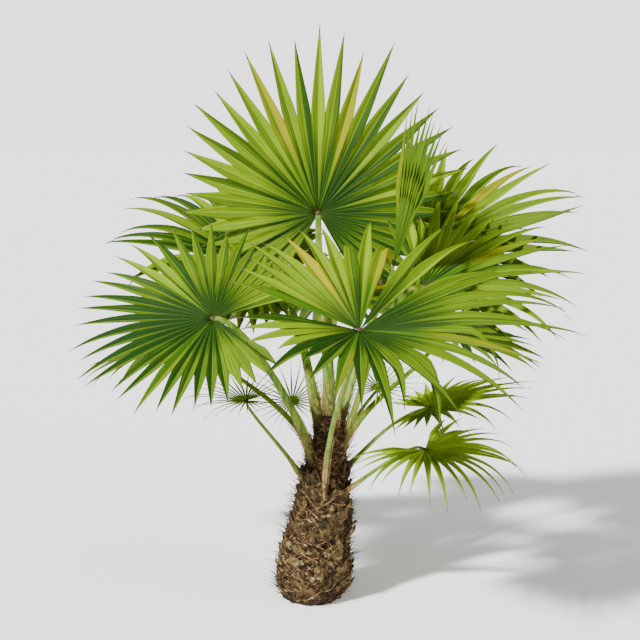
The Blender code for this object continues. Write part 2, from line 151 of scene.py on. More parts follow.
def heading(turn, height):
    a, e = math.radians(turn), math.radians(height)
    return Vector((math.cos(a) * math.cos(e), math.sin(a) * math.cos(e), math.sin(e)))


def bladeFrame(frond):
    face = heading(*frond.face)
    lead = heading(*frond.lead)
    lead = (lead - face * lead.dot(face)).normalized()
    return lead, face.cross(lead), face


# (point, direction) at each radius along a leaflet's rib
def rib(frond, leaflet, radii):
    lead, side, face = bladeFrame(frond)
    flat = lead * math.cos(leaflet.angle) + side * math.sin(leaflet.angle)
    across = side * math.cos(leaflet.angle) - lead * math.sin(leaflet.angle)
    cup = math.radians(frond.cup)
    now = flat * math.cos(cup) + face * math.sin(cup)
    point, radius, found = Vector(frond.hub), 0.0, []
    for target in radii:
        steps = max(1, math.ceil((target - radius) / (growth["ribStep"] * frond.reach)))
        step = (target - radius) / steps
        for _ in range(steps):
            share = (radius + step / 2) / frond.reach
            pull = growth["sagRate"] * leaflet.sag * share**2
            if leaflet.limp and share > growth["limpFrom"]:
                pull += growth["limpPull"]
            now = now - Vector((0, 0, pull * step / frond.reach))
            if share > frond.split:
                now = now + across * leaflet.swing * step / frond.reach
            now.normalize()
            point = point + now * step
            radius += step
        found.append((point.copy(), now.copy()))
    return found


def leafletPlan(frond, k, draw):
    span = math.radians(frond.span)
    angle = -span / 2 + (k + 0.5) * span / frond.leaflets
    shape = 1 - frond.short * (1 - math.cos(growth["shorteningTurn"] * angle))
    length = frond.reach * shape * (1 + draw.uniform(-growth["lengthSpread"], growth["lengthSpread"]))
    sag = frond.sag * draw.uniform(growth["sagLeast"], growth["sagMost"])
    swing = draw.uniform(-growth["swingSpread"], growth["swingSpread"])
    limp = draw.random() < frond.limp
    return Leaflet(angle, length * (growth["limpLength"] if limp else 1.0), sag, swing, limp)


# the leaflet as the solid has it: the try whose tip is one of the solid's own points
def grownLeaflet(frond, plan, solid):
    nearSplit = frond.split * frond.reach * growth["splitStop"]
    for share in growth["shortening"]:
        for sag, swing in growth["dodges"]:
            tried = plan._replace(
                length=plan.length * share, sag=plan.sag + sag, swing=plan.swing + math.radians(swing)
            )
            tip = rib(frond, tried, (nearSplit, tried.length))[-1][0]
            if solid.find(tip)[2] < growth["tipMatch"]:
                return tried
    return None


# a CAD node's points, to look up the nearest one
def pointsOf(node):
    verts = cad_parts[node].data.vertices
    tree = KDTree(len(verts))
    for n, vert in enumerate(verts):
        tree.insert(vert.co, n)
    tree.balance()
    return tree


weldDistance = 0.00001
phases = (0, 6)  # where a wave may start, in radians


# a unit grid whose corners (u across, v along) are carried to their places
def sheet(bm, columns, rows, place, tone=0.5, closed=False):
    uvs = bm.loops.layers.uv.verify()
    tones = bm.verts.layers.float.get("tone") or bm.verts.layers.float.new("tone")
    made = bmesh.ops.create_grid(bm, x_segments=columns, y_segments=rows, size=0.5)["verts"]
    for face in {f for v in made for f in v.link_faces}:
        face.smooth = True
        for loop in face.loops:
            loop[uvs].uv = (loop.vert.co.x + 0.5, loop.vert.co.y + 0.5)
    for vert in made:
        vert.co = place(vert.co.x + 0.5, vert.co.y + 0.5)
        vert[tones] = tone
    if closed:
        bmesh.ops.remove_doubles(bm, verts=made, dist=weldDistance)
        made = [v for v in made if v.is_valid]
        rims = list({e for v in made for e in v.link_edges if e.is_boundary})
        bmesh.ops.holes_fill(bm, edges=rims, sides=0)


def makePiece(name, bm, finish, replaced=(), thickness=0.0):
    bmesh.ops.recalc_face_normals(bm, faces=bm.faces)
    mesh = bpy.data.meshes.new(name)
    bm.to_mesh(mesh)
    bm.free()
    dress(name, mesh, finish, replaced, thickness)


# the mesh becomes a piece of the plant, with a wall where it is only a surface
def dress(name, mesh, finish, replaced=(), thickness=0.0):
    piece = bpy.data.objects.new(name, mesh)
    bpy.context.scene.collection.objects.link(piece)
    mesh.materials.append(finish)
    if thickness:
        shell = piece.modifiers.new("shell", "SOLIDIFY")
        shell.thickness = thickness
        shell.offset = 0.0
    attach(piece, "root")
    if replaced:
        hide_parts(*replaced)


def mathNode(tree, operation, a, b=None, clamp=False):
    node = tree.nodes.new("ShaderNodeMath")
    node.operation = operation
    node.use_clamp = clamp
    for socket, value in zip(node.inputs, (a, b)):
        if isinstance(value, (int, float)):
            socket.default_value = value
        elif value is not None:
            tree.links.new(value, socket)
    return node.outputs[0]


def times(tree, a, b, clamp=False):
    return mathNode(tree, "MULTIPLY", a, b, clamp)


def plus(tree, a, b, clamp=False):
    return mathNode(tree, "ADD", a, b, clamp)


def minus(tree, a, b, clamp=False):
    return mathNode(tree, "SUBTRACT", a, b, clamp)


# 0 up to the start, then rising to 1
def ramp(tree, value, start, rise):
    return times(tree, minus(tree, value, start), rise, clamp=True)


def uvParts(tree):
    uv = tree.nodes.new("ShaderNodeUVMap")
    split = tree.nodes.new("ShaderNodeSeparateXYZ")
    tree.links.new(uv.outputs[0], split.inputs[0])
    return split.outputs[0], split.outputs[1]


# the Mix node keeps its two colours in sockets 6 and 7, and the mixed one in its output 2
def mixColour(tree, factor, first, second):
    node = tree.nodes.new("ShaderNodeMix")
    node.data_type = "RGBA"
    for socket, value in ((node.inputs[0], factor), (node.inputs[6], first), (node.inputs[7], second)):
        if isinstance(value, tuple):
            socket.default_value = (*value, 1.0)
        elif isinstance(value, (int, float)):
            socket.default_value = value
        else:
            tree.links.new(value, socket)
    return node.outputs[2]


def noiseNode(tree, vector, scale, detail=4.0):
    node = tree.nodes.new("ShaderNodeTexNoise")
    node.inputs["Scale"].default_value = scale
    node.inputs["Detail"].default_value = detail
    tree.links.new(vector, node.inputs["Vector"])
    return node.outputs["Fac"]


def stretched(tree, scale, turn=(0.0, 0.0, 0.0)):
    place = tree.nodes.new("ShaderNodeTexCoord")
    mapping = tree.nodes.new("ShaderNodeMapping")
    mapping.inputs["Scale"].default_value = scale
    mapping.inputs["Rotation"].default_value = turn
    tree.links.new(place.outputs["Object"], mapping.inputs["Vector"])
    return mapping.outputs["Vector"]


leafPaint = {
    "veins": 88.0,
    "ribNarrow": 22.0,
    "ribShow": 0.4,
    "ribColour": (0.30, 0.40, 0.05),
    "edgeFrom": 0.47,  # from the middle of a leaflet, whose edge is at 0.5
    "edgeRise": 30.0,
    "edgeShow": 0.5,
    "edgeColour": (0.10, 0.07, 0.02),
    "rootFade": 2.1,
    "blotchScale": 9.0,
    "streakScale": (13.0, 1.4, 60.0),  # across a leaflet, along it, and from one tone to another
    "streakFrom": 0.36,
    "streakRise": 2.6,
    # how much of the light colour each effect brings, less what all lose
    "toneShare": 0.55,
    "veinShare": 0.2,
    # painted light on one half of each leaflet, which leaves the other half in painted shade
    "blotchShare": 0.15,
    "streakShare": 0.4,
    "paintedLightHalfShare": 0.34,
    "darker": 0.40,
    "roughness": 0.5,
    "roughnessSpread": 0.25,
    "specular": 0.1,
    "bumpStrength": 0.35,
    "bumpDistance": 0.0006,
    # light colour, dark colour and how far the root is shaded
    "colours": {
        "leafGreen": ((0.205, 0.335, 0.0008), (0.006, 0.036, 0.0005), 0.72),
        "leafDark": ((0.15, 0.27, 0.004), (0.006, 0.036, 0.0006), 0.3),
        # paler colours for the low fronds: painted light over the crown's shade on them
        "leafLowPaintedLight": ((0.42, 0.58, 0.008), (0.07, 0.17, 0.003), 0.08),
        "leafYellow": ((0.37, 0.31, 0.0005), (0.03, 0.10, 0.0005), 0.9),
    },
}


# fine veins and streaks along a leaflet, its paler rib, its brown edge, its darker root,
# painted light on one half and painted shade on the other, and each leaflet's own tone
def makeLeafGroup():
    look = leafPaint
    group = bpy.data.node_groups.new("leafSurface", "ShaderNodeTree")
    for name, kind, way in (
        ("Light", "NodeSocketColor", "INPUT"), ("Dark", "NodeSocketColor", "INPUT"),
        ("Veins", "NodeSocketFloat", "INPUT"), ("Root Shade", "NodeSocketFloat", "INPUT"),
        ("Colour", "NodeSocketColor", "OUTPUT"), ("Height", "NodeSocketFloat", "OUTPUT"),
        ("Roughness", "NodeSocketFloat", "OUTPUT"),
    ):
        group.interface.new_socket(name, in_out=way, socket_type=kind)
    into = group.nodes.new("NodeGroupInput")
    out = group.nodes.new("NodeGroupOutput")
    across, along = uvParts(group)
    attribute = group.nodes.new("ShaderNodeAttribute")
    attribute.attribute_name = "tone"
    tone = attribute.outputs["Fac"]

    wave = mathNode(group, "SINE", times(group, across, into.outputs["Veins"]))
    vein = times(group, plus(group, wave, 1.0), 0.5)
    fromMiddle = mathNode(group, "ABSOLUTE", minus(group, across, 0.5))
    ribMask = minus(group, 1.0, times(group, fromMiddle, look["ribNarrow"]), clamp=True)
    edge = ramp(group, fromMiddle, look["edgeFrom"], look["edgeRise"])
    root = minus(group, 1.0, times(group, along, look["rootFade"]), clamp=True)
    blotch = noiseNode(group, stretched(group, (1.0, 1.0, 1.0)), look["blotchScale"])
    # painted light on one half of each leaflet and painted shade on the other; which half is lit flips
    # with the leaflet's tone
    flip = mathNode(group, "GREATER_THAN", tone, 0.5)
    half = mathNode(group, "GREATER_THAN", across, 0.5)
    half = mathNode(group, "ABSOLUTE", minus(group, half, flip))
    place = group.nodes.new("ShaderNodeCombineXYZ")
    for socket, value, scale in zip(place.inputs, (across, along, tone), look["streakScale"]):
        group.links.new(times(group, value, scale), socket)
    streak = noiseNode(group, place.outputs[0], 1.0)
    streak = ramp(group, streak, look["streakFrom"], look["streakRise"])

    light = times(group, tone, look["toneShare"])
    for effect, share in (
        (vein, "veinShare"), (blotch, "blotchShare"), (streak, "streakShare"), (half, "paintedLightHalfShare"),
    ):
        light = plus(group, light, times(group, effect, look[share]))
    light = minus(group, light, look["darker"])
    light = minus(group, light, times(group, root, into.outputs["Root Shade"]), clamp=True)
    colour = mixColour(group, light, into.outputs["Dark"], into.outputs["Light"])
    colour = mixColour(group, times(group, ribMask, look["ribShow"]), colour, look["ribColour"])
    colour = mixColour(group, times(group, edge, look["edgeShow"]), colour, look["edgeColour"])
    group.links.new(colour, out.inputs["Colour"])
    group.links.new(minus(group, vein, ribMask), out.inputs["Height"])
    rough = plus(group, times(group, blotch, look["roughnessSpread"]), look["roughness"])
    group.links.new(rough, out.inputs["Roughness"])
    return group


def plainFinish(name, specular, bumpStrength, bumpDistance):
    finish = bpy.data.materials.new(name)
    finish.use_nodes = True
    tree = finish.node_tree
    shader = tree.nodes["Principled BSDF"]
    shader.inputs["Specular IOR Level"].default_value = specular
    bump = tree.nodes.new("ShaderNodeBump")
    bump.inputs["Strength"].default_value = bumpStrength
    bump.inputs["Distance"].default_value = bumpDistance
    tree.links.new(bump.outputs["Normal"], shader.inputs["Normal"])
    return finish, tree, shader, bump


def makeLeafFinish(name, light, dark, rootShade, group):
    look = leafPaint
    finish, tree, shader, bump = plainFinish(
        name, look["specular"], look["bumpStrength"], look["bumpDistance"]
    )
    surface = tree.nodes.new("ShaderNodeGroup")
    surface.node_tree = group
    surface.inputs["Light"].default_value = (*light, 1.0)
    surface.inputs["Dark"].default_value = (*dark, 1.0)
    surface.inputs["Veins"].default_value = look["veins"]
    surface.inputs["Root Shade"].default_value = rootShade
    tree.links.new(surface.outputs["Colour"], shader.inputs["Base Color"])
    tree.links.new(surface.outputs["Roughness"], shader.inputs["Roughness"])
    tree.links.new(surface.outputs["Height"], bump.inputs["Height"])
    return finish


streakPaint = {
    "detail": 6.0,
    "streakFrom": 0.36,
    "streakRise": 3.4,
    "speckFrom": 0.53,
    "speckRise": 6.0,
    "rootFade": 7.0,
    "specular": 0.2,
    "bumpStrength": 0.6,
    # colours: between the streaks, of the streaks, of the specks
    "finishes": {
        "dryTip": {
            "colours": ((0.05, 0.035, 0.02), (0.11, 0.08, 0.05), (0.16, 0.13, 0.08)),
            "scale": (30.0, 30.0, 30.0),
        },
        "stalkGreen": {
            "colours": ((0.045, 0.12, 0.006), (0.17, 0.28, 0.018), (0.24, 0.17, 0.02)),
            "scale": (70.0, 70.0, 9.0), "rough": 0.45, "fine": 24.0, "bumpDistance": 0.0008,
            "rootColour": (0.055, 0.032, 0.014),
        },
        "barkMat": {
            "colours": ((0.005, 0.003, 0.002), (0.05, 0.028, 0.012), (0.20, 0.12, 0.05)),
            "scale": (42.0, 42.0, 11.0), "turn": (0.6, 0.5, 0.0), "rough": 0.92, "fine": 75.0,
            "bumpDistance": 0.006,
        },
        "darkFibre": {
            "colours": ((0.010, 0.006, 0.004), (0.06, 0.03, 0.014), (0.14, 0.075, 0.03)),
            "scale": (25.0, 25.0, 25.0), "rough": 0.9,
        },
        "barkFibre": {
            "colours": ((0.12, 0.065, 0.024), (0.42, 0.25, 0.10), (0.62, 0.44, 0.21)),
            "scale": (25.0, 25.0, 25.0), "rough": 0.9,
        },
        "barkHair": {
            "colours": ((0.008, 0.005, 0.003), (0.045, 0.027, 0.013), (0.12, 0.075, 0.035)),
            "scale": (25.0, 25.0, 25.0), "rough": 0.9,
        },
        "stubSide": {
            "colours": ((0.008, 0.005, 0.003), (0.16, 0.095, 0.035), (0.22, 0.19, 0.06)),
            "scale": (50.0, 50.0, 14.0), "rough": 0.85, "fine": 50.0,
        },
        "stubCut": {
            "colours": ((0.10, 0.065, 0.03), (0.36, 0.28, 0.13), (0.16, 0.10, 0.045)),
            "scale": (90.0, 90.0, 90.0), "rough": 0.85, "fine": 110.0,
        },
    },
}


# long streaks or mottling with fine specks; a root colour, where there is one, fades out along the piece
def makeStreakFinish(name, colours, scale, turn=(0.0, 0.0, 0.0), rough=0.7, fine=60.0,
                     bumpDistance=0.002, rootColour=None):
    look = streakPaint
    finish, tree, shader, bump = plainFinish(name, look["specular"], look["bumpStrength"], bumpDistance)
    streak = noiseNode(tree, stretched(tree, scale, turn), 1.0, look["detail"])
    speck = noiseNode(tree, stretched(tree, (1.0, 1.0, 1.0)), fine)
    sharp = ramp(tree, streak, look["streakFrom"], look["streakRise"])
    colour = mixColour(tree, sharp, colours[0], colours[1])
    spot = ramp(tree, speck, look["speckFrom"], look["speckRise"])
    colour = mixColour(tree, spot, colour, colours[2])
    if rootColour:
        along = uvParts(tree)[1]
        fade = minus(tree, 1.0, times(tree, along, look["rootFade"]))
        fade = plus(tree, fade, minus(tree, streak, 0.5), clamp=True)
        colour = mixColour(tree, fade, colour, rootColour)
    tree.links.new(colour, shader.inputs["Base Color"])
    shader.inputs["Roughness"].default_value = rough
    tree.links.new(plus(tree, streak, speck), bump.inputs["Height"])
    return finish


leafGroup = makeLeafGroup()
finishes = {name: makeLeafFinish(name, *row, leafGroup) for name, row in leafPaint["colours"].items()}
for name, row in streakPaint["finishes"].items():
    finishes[name] = makeStreakFinish(name, **row)
print("finishes made")


# half the width of a leaflet at a radius: it fills its sector to the split, swells, then tapers off
def halfWidthAt(frond, leaflet, radius):
    sector = math.tan(math.radians(frond.span) / frond.leaflets / 2)
    split = frond.split * frond.reach
    if radius < split:
        return radius * sector * leafLook["overlap"]
    share = (radius - split) / max(leaflet.length - split, leafLook["leastFree"])
    widest = split * sector
    swell = leafLook["swell"] * leafLook["broad"].get(frond.name, 1.0)
    if share < leafLook["widestAt"]:
        t = share / leafLook["widestAt"]
        overlap = leafLook["overlap"]
        return widest * (overlap + (swell - overlap) * math.sin(t * math.pi / 2))
    t = (share - leafLook["widestAt"]) / (1 - leafLook["widestAt"])
    return max(widest * swell * (1 - t ** leafLook["taper"]), leafLook["tipWidth"] / 2)


# a folded strip along the leaflet's rib, with its dry tip in a mesh of its own
def growLeaflet(bm, tipBm, frond, leaflet, tone, draw):
    look = leafLook
    start = growth["hubRadius"] * frond.scale * look["startRadius"]
    phase = draw.uniform(*phases)
    lead, side, _ = bladeFrame(frond)
    wayAcross = side * math.cos(leaflet.angle) - lead * math.sin(leaflet.angle)

    def stretch(target, fromShare, toShare, columns, rows):
        reach = leaflet.length - start
        radii = [
            start + reach * (fromShare + (toShare - fromShare) * n / rows) for n in range(rows + 1)
        ]
        line = rib(frond, leaflet, radii)

        def place(u, v):
            row = round(v * rows)
            point, along = line[row]
            up = along.cross(wayAcross).normalized()
            across = up.cross(along).normalized()
            half = halfWidthAt(frond, leaflet, radii[row])
            share = radii[row] / leaflet.length
            fold = look["fold"] + (look["foldAtTip"] - look["fold"]) * share
            wave = math.sin(phase + share * look["ripples"]) * look["ripple"] * share
            out = 2 * u - 1
            return point + across * half * out + up * half * (fold * (abs(out) - 0.5) + wave * out)

        sheet(target, columns, rows, place, tone)

    stretch(bm, 0.0, look["tipFrom"], look["columns"], look["rows"])
    stretch(tipBm, look["tipFrom"], 1.0, look["tipColumns"], look["tipRows"])


def makeBlades():
    look = leafLook
    yellowBm, tipBm = bmesh.new(), bmesh.new()
    for n, frond in enumerate(fronds):
        plans = random.Random(growth["seed"] + n)
        looks = random.Random(look["seed"] + n)
        solid = pointsOf(f"blade_{frond.name}")
        bm = bmesh.new()
        missing = 0
        for k in range(frond.leaflets):
            leaflet = grownLeaflet(frond, leafletPlan(frond, k, plans), solid)
            if leaflet is None:
                missing += 1
                continue
            yellow = k in look["yellow"].get(frond.name, ())
            tone = looks.random()
            if k in look["deep"].get(frond.name, ()):
                tone *= look["deepTone"]
            growLeaflet(yellowBm if yellow else bm, tipBm, frond, leaflet, tone, looks)
        finish = finishes[look["finish"].get(frond.name, "leafGreen")]
        makePiece(
            f"leaflets_{frond.name}", bm, finish, (f"blade_{frond.name}",), look["thickness"]
        )
        print("blade", frond.name, "leaflets left out:", missing)
    makePiece("leaflets_yellow", yellowBm, finishes["leafYellow"],
              thickness=look["thickness"])
    makePiece("leaflet_tips", tipBm, finishes["dryTip"], thickness=look["thickness"])


makeBlades()

trunkLook = {
    "outline": (  # height, radius
        (0.0, 0.100), (0.03, 0.112), (0.08, 0.115), (0.14, 0.111), (0.2, 0.104), (0.27, 0.094),
        (0.34, 0.083), (0.41, 0.070), (0.48, 0.057), (0.55, 0.044), (0.63, 0.028),
    ),
    "lean": 0.11,
    "lump": 0.035,
    "lobes": 3,
    "twist": 26,
    "sides": 120,
    "rings": 150,
    "relief": 0.0062,
    "ridges": ((1.0, 19, 150), (0.8, 14, -190)),  # share, number round the trunk, climb
    "ridgeShare": 0.28,
    "roughShare": 1.3,
    "roughScale": (3, 6),  # all over, and how much finer up the trunk
    "roughFractal": (0.8, 2.0, 4),
    "stubs": 24,
    "stubTurn": math.radians(137.5),  # from one leaf base to the next, and from scale to scale
    "stubHeights": (0.045, 0.285),
    "stubLength": 0.075,
    "stubWidth": 0.076,
    "stubDepth": 0.036,
    "stubTaper": 0.68,
    "stubRise": math.radians(52),
    "stubSink": 0.022,
    "stubBack": 0.3,
    "stubFloor": 0.024,
    "stubShrink": 0.25,
    "stubSides": 12,
    "stubRows": 5,
    "stubSquare": 0.8,
    "stubRagged": (0.88, 1.04),
    "stubEnds": (-0.07, 0.0),
    "cutRows": 2,
    "cutRise": 0.02,
    "cutSize": 0.97,
    "cutInto": 0.5,
    "stubSeed": 31,
    "scales": 105,
    "scaleWidth": (0.032, 0.080),
    "scaleHeight": (0.035, 0.075),
    "scaleLift": (0.006, 0.028),
    "scaleThickness": 0.003,
    "scaleColumns": 7,
    "scaleRows": 6,
    "scaleRagged": (0.75, 1.1),
    "scaleNarrow": 0.7,
    "scaleLean": 0.5,
    "scaleTurnSpread": 0.3,
    "scaleHeights": (0.01, 0.42),  # the lowest, and how far they climb
    "scaleHeightSpread": 0.01,
    "scaleSeed": 43,
    "clear": 0.001,  # how far scales and fibres lie off the bark
    "fibreSets": (  # piece, count, seed, range of slants, finish
        ("trunk_fibres", 1000, 47, (0.5, 2.2), "barkFibre"),
        ("trunk_dark_fibres", 1300, 48, (0.3, 2.6), "darkFibre"),
    ),
    "fibreLength": (0.03, 0.09),
    "fibreBulge": (0.002, 0.011),
    "fibreCurl": (0.002, 0.010),
    "fibreCurls": 5,
    "fibrePoints": 8,
    "fibreRadius": 0.0014,
    "fibreRadiusSpread": (0.6, 1.7),
    "fibreLowest": 0.012,
    "fibreBelowTop": 0.05,
    "fibreKeepIn": (0.006, 0.002),  # least distance to the ground and to the trunk's top
    "fibreLeastTurn": 0.03,
    "hairs": 3600,
    "hairLength": (0.014, 0.050),
    "hairRadius": 0.0014,
    "hairLowest": 0.01,
    "hairBelowTop": 0.04,
    "hairSide": 40,  # degrees off straight out, and degrees upward
    "hairUp": (5, 70),
    "hairBend": 0.55,
    "hairBendUp": (-0.6, 0.8),
    "hairShares": (0, 0.35, 0.7, 1),
    "hairSeed": 53,
}


def trunkCentre(height):
    return Vector((trunkLook["lean"] * height, 0.0, height))


def trunkRadius(height):
    rows = trunkLook["outline"]
    for (low, lowRadius), (high, highRadius) in zip(rows, rows[1:]):
        if height <= high:
            return lowRadius + (highRadius - lowRadius) * (height - low) / (high - low)
    return rows[-1][1]


# matted fibre that climbs the trunk in crossing ridges
def barkRelief(turn, height):
    look = trunkLook
    ridges = sum(
        share * math.sin(turn * number + height * climb) for share, number, climb in look["ridges"]
    )
    allOver, upward = look["roughScale"]
    place = Vector((math.cos(turn), math.sin(turn), height * upward)) * allOver
    rough = noise.fractal(place, *look["roughFractal"])
    return look["relief"] * (look["ridgeShare"] * ridges + look["roughShare"] * rough)


# a point of the bark, or one that lies off it by lift
def trunkSurface(turn, height, lift=0.0):
    lump = 1 + trunkLook["lump"] * math.sin(trunkLook["lobes"] * turn + trunkLook["twist"] * height)
    radius = trunkRadius(height) * lump + barkRelief(turn, height) + lift
    return trunkCentre(height) + Vector((math.cos(turn), math.sin(turn), 0)) * radius


def makeTrunk():
    top = trunkLook["outline"][-1][0]
    bm = bmesh.new()
    sheet(bm, trunkLook["sides"], trunkLook["rings"],
          lambda u, v: trunkSurface((u % 1.0) * 2 * math.pi, v * top), closed=True)
    makePiece("trunk_bark", bm, finishes["barkMat"], ("trunk",))


# where old leaf base k starts, the way it grows, its side, its back, and its size
def stubFrame(k):
    look = trunkLook
    share = k / (look["stubs"] - 1)
    height = look["stubHeights"][0] + (look["stubHeights"][1] - look["stubHeights"][0]) * share
    turn = look["stubTurn"] * k
    size = 1.0 - look["stubShrink"] * share
    out = heading(math.degrees(turn), 0)
    along = out * math.cos(look["stubRise"]) + Vector((0, 0, math.sin(look["stubRise"])))
    side = Vector((-math.sin(turn), math.cos(turn), 0))
    foot = trunkCentre(height) + out * (trunkRadius(height) - look["stubSink"])
    foot = foot - along * look["stubLength"] * look["stubBack"]
    foot.z = max(foot.z, look["stubFloor"])
    return foot, along, side, along.cross(side), size


# old leaf bases: a rounded, ragged block each, with a paler cut end
def makeStubs():
    look = trunkLook
    bodies, cuts = bmesh.new(), bmesh.new()
    draw = random.Random(look["stubSeed"])
    sides = look["stubSides"]
    for k in range(look["stubs"]):
        foot, along, side, back, size = stubFrame(k)
        ragged = [draw.uniform(*look["stubRagged"]) for _ in range(sides)]
        ends = [draw.uniform(*look["stubEnds"]) for _ in range(sides)]

        def squared(share):
            return math.copysign(abs(share) ** look["stubSquare"], share)

        def place(u, v, grow=1.0):
            step = round(u * sides) % sides
            angle = 2 * math.pi * step / sides
            taper = 1 + (look["stubTaper"] - 1) * v
            wide = squared(math.cos(angle)) * look["stubWidth"] / 2
            deep = squared(math.sin(angle)) * look["stubDepth"] / 2
            flat = (side * wide + back * deep) * size * taper * ragged[step] * grow
            return foot + along * look["stubLength"] * size * (v + ends[step] * v) + flat

        def placeCut(u, v):
            return place(u, 1.0 + look["cutRise"] * v, look["cutSize"] - look["cutInto"] * v)

        sheet(bodies, sides, look["stubRows"], place, closed=True)
        sheet(cuts, sides, look["cutRows"], placeCut, closed=True)
    makePiece("leaf_bases", bodies, finishes["stubSide"])
    makePiece("leaf_base_cuts", cuts, finishes["stubCut"])


# ragged scales of old sheath that stand off the trunk at their upper edge
def makeScales():
    look = trunkLook
    draw = random.Random(look["scaleSeed"])
    bm = bmesh.new()
    lowest, climb = look["scaleHeights"]
    columns = look["scaleColumns"]
    for k in range(look["scales"]):
        middle = look["stubTurn"] * k + draw.uniform(-look["scaleTurnSpread"], look["scaleTurnSpread"])
        spread = draw.uniform(-look["scaleHeightSpread"], look["scaleHeightSpread"])
        low = lowest + climb * (k / look["scales"]) + spread
        width, height = draw.uniform(*look["scaleWidth"]), draw.uniform(*look["scaleHeight"])
        lift = draw.uniform(*look["scaleLift"])
        lean = draw.uniform(-look["scaleLean"], look["scaleLean"])
        ragged = [draw.uniform(*look["scaleRagged"]) for _ in range(columns + 1)]

        def place(u, v):
            tall = low + height * v * ragged[round(u * columns)]
            narrow = 1 - look["scaleNarrow"] * v**2
            turn = middle + ((u - 0.5) * width * narrow + lean * height * v) / trunkRadius(tall)
            return trunkSurface(turn, tall, look["clear"] + lift * v**1.5)

        sheet(bm, columns, look["scaleRows"], place)
    makePiece("sheath_scales", bm, finishes["stubSide"], thickness=look["scaleThickness"])


strandTaper = 0.85  # how much thinner a strand ends than it starts


# a three-sided strand that tapers along its points, added to the arrays
def addStrand(verts, faces, points, radius):
    first = len(verts)
    for n, point in enumerate(points):
        ahead = points[min(n + 1, len(points) - 1)] - points[max(n - 1, 0)]
        side = ahead.orthogonal().normalized()
        other = ahead.cross(side).normalized()
        here = radius * (1 - strandTaper * n / (len(points) - 1))
        for c in range(3):
            angle = 2 * math.pi * c / 3
            verts.append(point + (side * math.cos(angle) + other * math.sin(angle)) * here)
    for n in range(len(points) - 1):
        for c in range(3):
            a, b = first + 3 * n + c, first + 3 * n + (c + 1) % 3
            faces.append((a, b, b + 3, a + 3))
    last = first + 3 * (len(points) - 1)
    faces.append((first + 2, first + 1, first))
    faces.append((last, last + 1, last + 2))


def strandPiece(name, verts, faces, finish):
    mesh = bpy.data.meshes.new(name)
    mesh.from_pydata([tuple(v) for v in verts], [], faces)
    mesh.update()
    dress(name, mesh, finish)


# loose fibres that cross the trunk aslant, each bulging off the bark between its ends
def makeFibres(name, count, seed, climbs, finish):
    look = trunkLook
    draw = random.Random(seed)
    verts, faces = [], []
    top = look["outline"][-1][0]
    offGround, offTop = look["fibreKeepIn"]
    steps = look["fibrePoints"] - 1
    for _ in range(count):
        turn = draw.uniform(0, 2 * math.pi)
        height = draw.uniform(look["fibreLowest"], top - look["fibreBelowTop"])
        climb = draw.choice((-1, 1)) * draw.uniform(*climbs)
        length = draw.uniform(*look["fibreLength"])
        bulge = draw.uniform(*look["fibreBulge"])
        curl, phase = draw.uniform(*look["fibreCurl"]), draw.uniform(*phases)
        points = []
        for n in range(steps + 1):
            t = n / steps
            tall = height + length * t + curl * math.sin(phase + look["fibreCurls"] * t)
            tall = min(max(tall, offGround), top - offTop)
            swing = climb * length * t / max(trunkRadius(tall), look["fibreLeastTurn"])
            lift = look["clear"] + bulge * math.sin(math.pi * t)
            points.append(trunkSurface(turn + swing, tall, lift))
        addStrand(verts, faces, points, look["fibreRadius"] * draw.uniform(*look["fibreRadiusSpread"]))
    strandPiece(name, verts, faces, finish)


# short hairs that stand off the trunk all over
def makeHairs():
    look = trunkLook
    draw = random.Random(look["hairSeed"])
    verts, faces = [], []
    top = look["outline"][-1][0]
    for _ in range(look["hairs"]):
        turn = draw.uniform(0, 2 * math.pi)
        height = draw.uniform(look["hairLowest"], top - look["hairBelowTop"])
        start = trunkSurface(turn, height, -look["clear"])
        aside = draw.uniform(-look["hairSide"], look["hairSide"])
        out = heading(math.degrees(turn) + aside, draw.uniform(*look["hairUp"]))
        length = draw.uniform(*look["hairLength"])
        bend = Vector((draw.uniform(-1, 1), draw.uniform(-1, 1), draw.uniform(*look["hairBendUp"])))
        bend = bend * length * look["hairBend"]
        points = [start + out * length * t + bend * t**2 for t in look["hairShares"]]
        addStrand(verts, faces, points, look["hairRadius"])
    strandPiece("trunk_hairs", verts, faces, finishes["barkHair"])


makeTrunk()
makeStubs()
makeScales()
for name, count, seed, climbs, finish in trunkLook["fibreSets"]:
    makeFibres(name, count, seed, climbs, finishes[finish])
makeHairs()
print("trunk made")

petioleLook = {
    "widths": (0.042, 0.027, 0.021),  # at the foot, the middle and the hub
    "depths": (0.024, 0.018, 0.012),
    "sink": 0.018,  # how deep a stalk starts inside the trunk
    "bow": 0.42,
    "steps": 30,
    "sides": 14,
    "uprightBlade": 0.85,  # past this the stalk meets the back of the hub, and else its rim
    "heelLeast": math.radians(150),
    "hubThickness": 0.010,
    "clearance": 0.0004,
    "sheathTo": 0.2,  # share of the petiole that its old sheath's fibres clothe
    "sheathSwell": 0.35,
    "sheathFibres": 46,
    "sheathFrom": 0.6,  # the last start of a fibre, over the sheath's end
    "sheathLeast": 0.04,
    "sheathPoints": 5,
    "sheathLoose": (1.02, 0.25),  # over the stalk's size: at its start, and how much more at its end
    "sheathTurn": 0.5,
    "sheathRadius": 0.0012,
    "sheathRadiusSpread": (0.6, 1.5),
    "sheathSeed": 61,
    "flatTop": 0.55,
    "hubSegments": (16, 8),
    "hubSize": (0.55, 0.55, 0.35),  # along the blade, across it and through it, over the hub's radius
}


